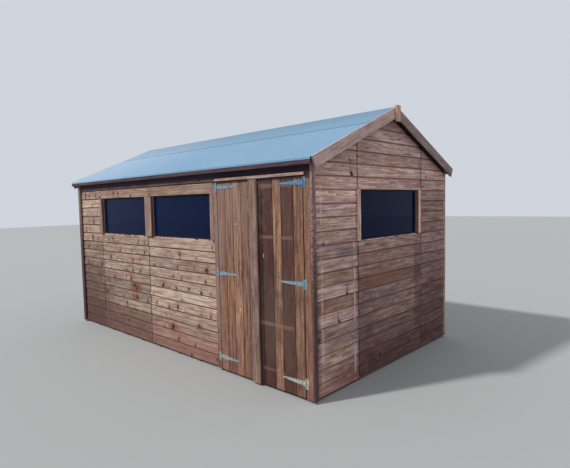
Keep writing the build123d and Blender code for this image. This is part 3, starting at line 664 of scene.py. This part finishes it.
def dress(node, material, look=plain_board, edge=0.0018, shade=unshaded):
    """Stands in for a node of plain boards: eased edges, grain and a tone on each board, and a shade on each face."""
    mesh = cad_mesh(node)
    sharp = [side for side in mesh.edges if len(side.link_faces) == 2 and side.calc_face_angle() > 0.6]
    bmesh.ops.bevel(mesh, geom=sharp, offset=edge, segments=2, profile=0.5, affect="EDGES", clamp_overlap=True,
                    material=-1)
    tone_layer = mesh.faces.layers.float["tone"]
    for group in solids(mesh):
        low, high = box_of(group)
        lay_grain(mesh, group, longest_edge(group), *look((low + high) / 2))
        for face in group:
            face[tone_layer] += shade(face)
    return show(mesh, f"{node}_timber", frame["nodes"][node]["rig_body"], material, [node])


class Wall:
    """One wall as seen from outside: x runs along it, depth is outward from its boards' lips; its last setting scales
    the painted shade and highlight on its boards.
    """

    def __init__(self, along, out, reach, painted_lap_shading=1.0):
        self.along, self.out, self.reach, self.painted_lap_shading = Vector(along), Vector(out), reach, painted_lap_shading

    def point(self, x, depth, height):
        return self.along * x + self.out * (self.reach + depth) + Vector((0, 0, height))

    def span(self, low, high):
        """The stretch of a box along the wall, from its start to its end."""
        return sorted((low.dot(self.along), high.dot(self.along)))


def ripple(size):
    """A slow random wave for the edges of a sawn board."""
    waves = [(size * random.uniform(0.3, 1.0), random.uniform(2, 7), random.uniform(0, 6.3)) for count in range(2)]
    return lambda x: sum(height * (math.sin(x * rate + phase) - 1) for height, rate, phase in waves) / 2


def pull_board(wall, start, end, bottom, stations):
    """A weatherboard's outline pulled along the wall in a number of short lengths, with the painted shade and highlight
    of its faces.
    """
    board = new_mesh()
    tone_layer, red_layer = board.faces.layers.float["tone"], board.faces.layers.float["red"]
    corners = [board.verts.new(wall.point(start, depth, bottom + rise)) for depth, rise in BOARD_OUTLINE]
    outline = board.faces.new(corners)
    pulled = bmesh.ops.extrude_face_region(board, geom=[outline])["geom"]
    far = {part for part in pulled if isinstance(part, bmesh.types.BMVert)}
    bmesh.ops.translate(board, verts=list(far), vec=wall.along * (end - start))
    for point, shade in PAINTED_FACE_SHADING.items():
        side, = set(board.edges.get((corners[point], corners[point + 1])).link_faces) - {outline}
        side[tone_layer] = wall.painted_lap_shading * shade
    lengthwise = [edge for edge in board.edges if (edge.verts[0] in far) != (edge.verts[1] in far)]
    bmesh.ops.subdivide_edges(board, edges=lengthwise, cuts=stations - 1, use_grid_fill=True)
    half_step = (end - start) / stations / 2

    def by_place(face):
        """Order along the board and then upwards, which is the same in every run."""
        middle = face.calc_center_median()
        return round((middle.dot(wall.along) - start) / half_step), middle.z

    # Painted shade on the lap faces is made redder and broken up along the board; the painted highlight on the arris
    # comes and goes.
    for face in sorted(board.faces, key=by_place):
        if face[tone_layer] < 0:
            face[red_layer] = 0.5
            face[tone_layer] *= random.uniform(0.5, 1.0)
        else:
            face[tone_layer] *= random.uniform(0.0, 1.0)
    return board


def cut_away(mesh, place, normal):
    """Cuts off what lies beyond a plane and closes the cut with faces that have no tone yet."""
    whole = mesh.verts[:] + mesh.edges[:] + mesh.faces[:]
    bmesh.ops.bisect_plane(mesh, geom=whole, dist=1e-6, plane_co=place, plane_no=normal, clear_outer=True)
    closing = bmesh.ops.holes_fill(mesh, edges=mesh.edges[:], sides=0)["faces"]
    for name in ("tone", "red"):
        layer = mesh.faces.layers.float[name]
        for face in closing:
            face[layer] = 0.0


def add_board(mesh, wall, start, end, bottom, top, look, gable=False):
    """One weatherboard with a rippled lip, cut to the top and to the slopes of a gable."""
    wander, bow = ripple(0.002), ripple(0.001)
    board = pull_board(wall, start, end, bottom, max(2, round((end - start) / BOARD_STEP)))
    deepest = wall.reach + BOARD_OUTLINE[GROOVE_BOTTOM][0] - 0.0001
    for vert in board.verts:
        x, rise = vert.co.dot(wall.along), vert.co.z - bottom
        if rise < GROOVE_HEIGHT and vert.co.dot(wall.out) > deepest:
            vert.co += wall.out * bow(x)
            if rise < LIP_HEIGHT:
                vert.co.z -= wander(x)
    if top < bottom + BOARD_OUTLINE[-1][1]:
        cut_away(board, (0, 0, top), (0, 0, 1))
    if gable:
        cut_away(board, (0, 0, GABLE_APEX), (0, GABLE_SLOPE, 1))
        cut_away(board, (0, 0, GABLE_APEX), (0, -GABLE_SLOPE, 1))
    bmesh.ops.recalc_face_normals(board, faces=board.faces[:])
    lay_grain(board, board.faces, wall.along, *look)
    join(mesh, board)


def board_wall(name, wall, nodes, seams, look, material, gable=False):
    """All the weatherboards of some cladding nodes, cut at the seams between panels."""
    mesh = new_mesh()
    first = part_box(nodes[0])[0].z
    for node in nodes:
        for low, high in solid_boxes(node):
            start, end = wall.span(low, high)
            cuts = [seam for seam in seams if start + SHORTEST_BOARD < seam < end - SHORTEST_BOARD]
            cuts = [start] + cuts + [end]
            course = math.floor((low.z - first) / COURSE + 0.15)
            while first + course * COURSE < high.z - LOWEST_BOARD:
                bottom = first + course * COURSE
                for left, right in zip(cuts, cuts[1:]):
                    gap_left = END_GAP if left == start else random.uniform(*JOINT_GAPS)
                    gap_right = END_GAP if right == end else random.uniform(*JOINT_GAPS)
                    half_width = (GABLE_APEX - bottom) / GABLE_SLOPE
                    if not gable or (left < half_width - GABLE_TIP and right > GABLE_TIP - half_width):
                        add_board(mesh, wall, left + gap_left, right - gap_right, bottom, high.z,
                                  look((left + right) / 2, bottom + COURSE / 2), gable)
                course += 1
    return show(mesh, name, "shed", material, nodes)


def front_look(x, height):
    """Tone of the front boards: duller low on the left, redder at the foot and dark under the eaves."""
    tone = random.gauss(0.13, 0.13)
    red = max(0.0, random.gauss(0.03, 0.12))
    if x < -1.5:
        tone += 0.15 - max(0.0, min(0.95, 1.6 * (1.3 - height)))
    elif x < -0.33 and height < 1.2:
        tone -= 0.3
    if height < 0.32:
        tone -= 0.4
        red += 0.2
    elif height > 1.73:
        tone -= 0.3
    return tone, red


def gable_look(x, height):
    """Tone of the gable boards: lighter beside the front corner, darker and redder low on the right."""
    tone = random.gauss(0.0, 0.16)
    red = max(0.0, random.gauss(0.06, 0.14))
    if x < -0.6:
        tone += 0.1 if height < 1.5 else 0.4
    elif height > 1.7:
        tone += 0.2
    elif x > 0.6:
        tone -= max(0.3, min(1.0, 1.1 * (1.5 - height)))
        red += 0.15
    else:
        tone -= max(0.0, min(0.85, 0.9 * (1.35 - height)))
        red += 0.1 if height < 0.9 else 0.0
    return tone, red


def plain_look(x, height):
    return random.gauss(-0.1, 0.18), max(0.0, random.gauss(0.06, 0.13))


def build_walls():
    """Weatherboards of the four walls."""
    reach_y = -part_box("front_cladding_below_windows")[0].y
    reach_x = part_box("right_gable_cladding_below")[1].x
    board_wall("front_weatherboards", Wall((1, 0, 0), (0, -1, 0), reach_y, painted_lap_shading=0.85),
               ["front_cladding_below_windows", "front_cladding_beside_openings",
                "front_cladding_above_windows", "front_cladding_over_doors"], FRONT_SEAMS, front_look, CLADDING)
    board_wall("back_weatherboards", Wall((-1, 0, 0), (0, 1, 0), reach_y), ["back_cladding"], BACK_SEAMS,
               plain_look, BACK_CLADDING)
    board_wall("right_gable_weatherboards", Wall((0, 1, 0), (1, 0, 0), reach_x, painted_lap_shading=0.3),
               ["right_gable_cladding_below", "right_gable_cladding_beside", "right_gable_cladding_above"],
               GABLE_SEAMS, gable_look, GABLE_CLADDING, gable=True)
    board_wall("left_gable_weatherboards", Wall((0, -1, 0), (-1, 0, 0), reach_x, painted_lap_shading=0.5), ["left_gable_cladding"],
               GABLE_SEAMS, plain_look, LEFT_GABLE_CLADDING, gable=True)


def add_plank(mesh, low, high, grain, tone, red, edge=0.002):
    """A straight board with eased edges, darkened as painted shade in the joints, between two corners."""
    before = set(mesh.faces)
    fit = Matrix.Translation((low + high) / 2) @ Matrix.Diagonal((*(high - low), 1))
    made = bmesh.ops.create_cube(mesh, size=1.0, matrix=fit)["verts"]
    edges = {side for vert in made for side in vert.link_edges}
    bmesh.ops.bevel(mesh, geom=list(edges), offset=edge, segments=2, profile=0.5, affect="EDGES", material=-1)
    faces = [face for face in mesh.faces if face not in before]
    lay_grain(mesh, faces, grain, tone, red)
    tone_layer = mesh.faces.layers.float["tone"]
    # Painted shade on the eased edges and sides, which lie in the joints between boards.
    for face in faces:
        if abs(face.normal.y) < 0.99:
            face[tone_layer] -= 1.9


def build_leaf(side, looks):
    """Upright boards of one door leaf, between the grooves of the CAD leaf."""
    node = f"{side}_door_boards"
    low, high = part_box(node)
    grooves = {round(vert.co.x, 4) for vert in frame["nodes"][node].data.vertices
               if low.y + 0.003 < vert.co.y < low.y + 0.005}
    edges = [low.x] + sorted(grooves) + [high.x]
    mesh = new_mesh()
    for start, end, (tone, red) in zip(edges, edges[1:], looks):
        foot = random.uniform(0, 0.003)
        add_plank(mesh, Vector((start + 0.0004, low.y + random.uniform(0, 0.0008), low.z + foot)),
                  Vector((end - 0.0004, high.y, high.z)), Vector((0, 0, 1)), tone, red, edge=0.0038)
    show(mesh, f"{node}_timber", f"{side}_door", DOORS, [node])


def add_stud(mesh, place, out, radius, height):
    """The low domed head of a nail or screw: a small ball pressed flat."""
    pressed = (Matrix.Translation(place) @ out.to_track_quat("Z", "Y").to_matrix().to_4x4()
               @ Matrix.Diagonal((1, 1, height / radius, 1)))
    head = bmesh.new()
    bmesh.ops.create_uvsphere(head, u_segments=8, v_segments=4, radius=radius, matrix=pressed)
    join(mesh, head)


def build_nails():
    """Nail heads near the foot of each weatherboard, beside the seams and over the studs."""
    mesh = bmesh.new()
    front = Wall((1, 0, 0), (0, -1, 0), -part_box("front_cladding_below_windows")[0].y)
    back = Wall((-1, 0, 0), (0, 1, 0), front.reach)
    right = Wall((0, 1, 0), (1, 0, 0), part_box("right_gable_cladding_below")[1].x)
    left = Wall((0, -1, 0), (-1, 0, 0), right.reach)
    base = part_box("back_cladding")[0].z
    for wall, places, courses in ((front, FRONT_NAILS, 11), (back, BACK_NAILS, 17), (right, RIGHT_NAILS, 11),
                                  (left, LEFT_NAILS, 16)):
        for course in range(courses):
            for place in places:
                if random.random() > 0.06:
                    height = base + course * COURSE + NAIL_HEIGHT + random.uniform(-0.005, 0.005)
                    spot = wall.point(place + random.uniform(-0.006, 0.006), -0.0014, height)
                    add_stud(mesh, spot, wall.out, *NAIL_HEAD)
    show(mesh, "cladding_nails", "shed", NAIL)


def build_hinges():
    """Steel of the tee hinges, with screw heads on the straps and plates."""
    for node, body in (("hinge_plates", "shed"), ("left_door_hinges", "left_door"),
                       ("right_door_hinges", "right_door")):
        paint(node, GALVANISED)
        mesh = bmesh.new()
        for low, high in solid_boxes(node):
            middle = (low + high) / 2
            if node == "hinge_plates":
                x = low.x + PLATE_INSET if middle.x < DOORWAY_MIDDLE else high.x - PLATE_INSET
                spots = [(x, middle.z + rise) for rise in PLATE_SCREWS]
            elif node == "left_door_hinges":
                spots = [(low.x + along, middle.z) for along in STRAP_SCREWS]
            else:
                spots = [(high.x - along, middle.z) for along in STRAP_SCREWS]
            for x, z in spots:
                add_stud(mesh, Vector((x, high.y - 0.003, z)), Vector((0, -1, 0)), *SCREW_HEAD)
        show(mesh, f"{node}_screws", body, GALVANISED, smooth=True)


def paint(node, material):
    """Gives a CAD node that stays in view its material."""
    data = frame["nodes"][node].data
    data.materials.clear()
    data.materials.append(material)


def corner_look(middle):
    """Corner trims: mauve beside the doors, and pale on the far corner of the gable."""
    if middle.x < 0:
        return -0.55, 0.2
    return (0.1, 0.1) if middle.y < 0 else (0.7, 0.1)


def window_trim_look(middle):
    """The gable window has pale dry side trims."""
    return (1.2, 0.0) if middle.x > 2 else (-0.15, 0.05)


def barge_look(middle):
    """The front bargeboard of the right gable is the lightest."""
    if middle.x < 0:
        return 0.2, 0.1
    return (0.75, 0.0) if middle.y < 0 else (-0.05, 0.05)


def jamb_look(middle):
    """The left jamb is redder than the right one."""
    return (-0.05, 0.2) if middle.x > DOORWAY_MIDDLE else (0.1, 0.5)


def finial_look(middle):
    return (0.75, 0.0) if middle.x > 0 else (0.2, 0.1)


# Painted shade on the faces of the bargeboards that look down.
def painted_underside_shade(face):
    return -2.0 if face.normal.z < -0.5 else 0.0


def painted_light_edge(face):
    """Painted light on the side of the meeting strip that faces away from the key light."""
    return 0.4 if face.normal.x > 0.5 else 0.0


def painted_stop_highlights(face):
    """Painted highlight on the faces of the glazing stops that look outwards, where they catch the light."""
    place = face.calc_center_median()
    for low, high in PANES:
        along = 0 if high.x - low.x > high.y - low.y else 1
        facing_out = face.normal.y < -0.8 if along == 0 else face.normal.x > 0.8
        if facing_out and all(low[axis] + 0.0006 < place[axis] < high[axis] - 0.0006 for axis in (along, 2)):
            return 2.3
    return 0.0


def unlit(face):
    """Sills and heads lie in the shade of the window opening."""
    return -1.8


def build_timber():
    """Trims, doors, linings, framing and roof timbers."""
    dress("corner_trims", CORNER, corner_look)
    dress("window_trims", TRIM, window_trim_look)
    dress("front_bargeboards", BARGE, barge_look, shade=painted_underside_shade)
    dress("back_bargeboards", BARGE, barge_look, shade=painted_underside_shade)
    dress("finials", TRIM, finial_look)
    dress("door_jambs", DOORS, jamb_look)
    dress("drip_bar", TRIM, lambda middle: (0.25, 0.0))
    dress("meeting_strip", TRIM, lambda middle: (-0.55, 0.12), shade=painted_light_edge)
    dress("fascias", EAVES)
    dress("window_side_linings", SHADED_LINING, shade=painted_stop_highlights)
    dress("window_sills", SHADED_LINING, shade=unlit)
    dress("window_heads", SHADED_LINING, shade=unlit)
    for side in ("left", "right"):
        dress(f"{side}_door_ledges", DOORS)
        dress(f"{side}_door_braces", DOORS)
    dress("floor_joists", BEARER)
    for node in ("wall_studs", "side_wall_plates", "gable_rails", "window_rails", "door_head", "ridge_beam",
                 "purlins", "rafters", "roof_ties"):
        dress(node, FRAMING)
    for node in ("floor_boards", "front_roof_boards", "back_roof_boards"):
        dress(node, FLOOR)


def add_camera():
    """Camera at the photograph's angle, its rotation built from yaw, pitch and roll."""
    data = bpy.data.cameras.new("photo_camera")
    data.sensor_width = 36
    data.lens = CAMERA_FOCAL_PIXELS * data.sensor_width / PHOTO_WIDTH
    camera = bpy.data.objects.new("photo_camera", data)
    bpy.context.scene.collection.objects.link(camera)
    turn = (Matrix.Rotation(CAMERA_YAW, 4, "Z") @ Matrix.Rotation(math.pi / 2 + CAMERA_PITCH, 4, "X")
            @ Matrix.Rotation(CAMERA_ROLL, 4, "Z"))
    camera.matrix_world = Matrix.Translation(CAMERA_PLACE) @ turn
    bpy.context.scene.camera = camera


def add_lights():
    """Soft key from the front-left and an even pale light from all round."""
    key = bpy.data.lights.new("key", "SUN")
    key.energy = 3.0
    key.angle = math.radians(4)
    lamp = bpy.data.objects.new("key", key)
    lamp.rotation_euler = Vector((0.42, 0.8, -0.9)).to_track_quat("-Z", "Y").to_euler()
    bpy.context.scene.collection.objects.link(lamp)
    world = bpy.data.worlds.new("studio")
    world.use_nodes = True
    world.node_tree.nodes["Background"].inputs["Color"].default_value = (0.87, 0.92, 1.0, 1)
    world.node_tree.nodes["Background"].inputs["Strength"].default_value = 0.72
    bpy.context.scene.world = world


def add_floor():
    """Plain pale floor under the shed."""
    flat = bmesh.new()
    bmesh.ops.create_grid(flat, x_segments=1, y_segments=1, size=40)
    mesh = bpy.data.meshes.new("floor")
    flat.to_mesh(mesh)
    flat.free()
    material, graph, shader = new_material("studio_floor")
    shader.inputs["Base Color"].default_value = (0.34, 0.34, 0.33, 1)
    shader.inputs["Roughness"].default_value = 0.9
    mesh.materials.append(material)
    floor = bpy.data.objects.new("floor", mesh)
    bpy.context.scene.collection.objects.link(floor)


bpy.context.scene.view_settings.view_transform = "Standard"
add_camera()
add_lights()
add_floor()

PANES = solid_boxes("window_glass")
build_walls()
build_leaf("left", LEFT_LEAF_LOOKS)
build_leaf("right", RIGHT_LEAF_LOOKS)
build_timber()
for felt in ("front_roof_felt", "back_roof_felt", "ridge_felt"):
    paint(felt, FELT)
paint("window_glass", GLASS)
build_hinges()
build_nails()
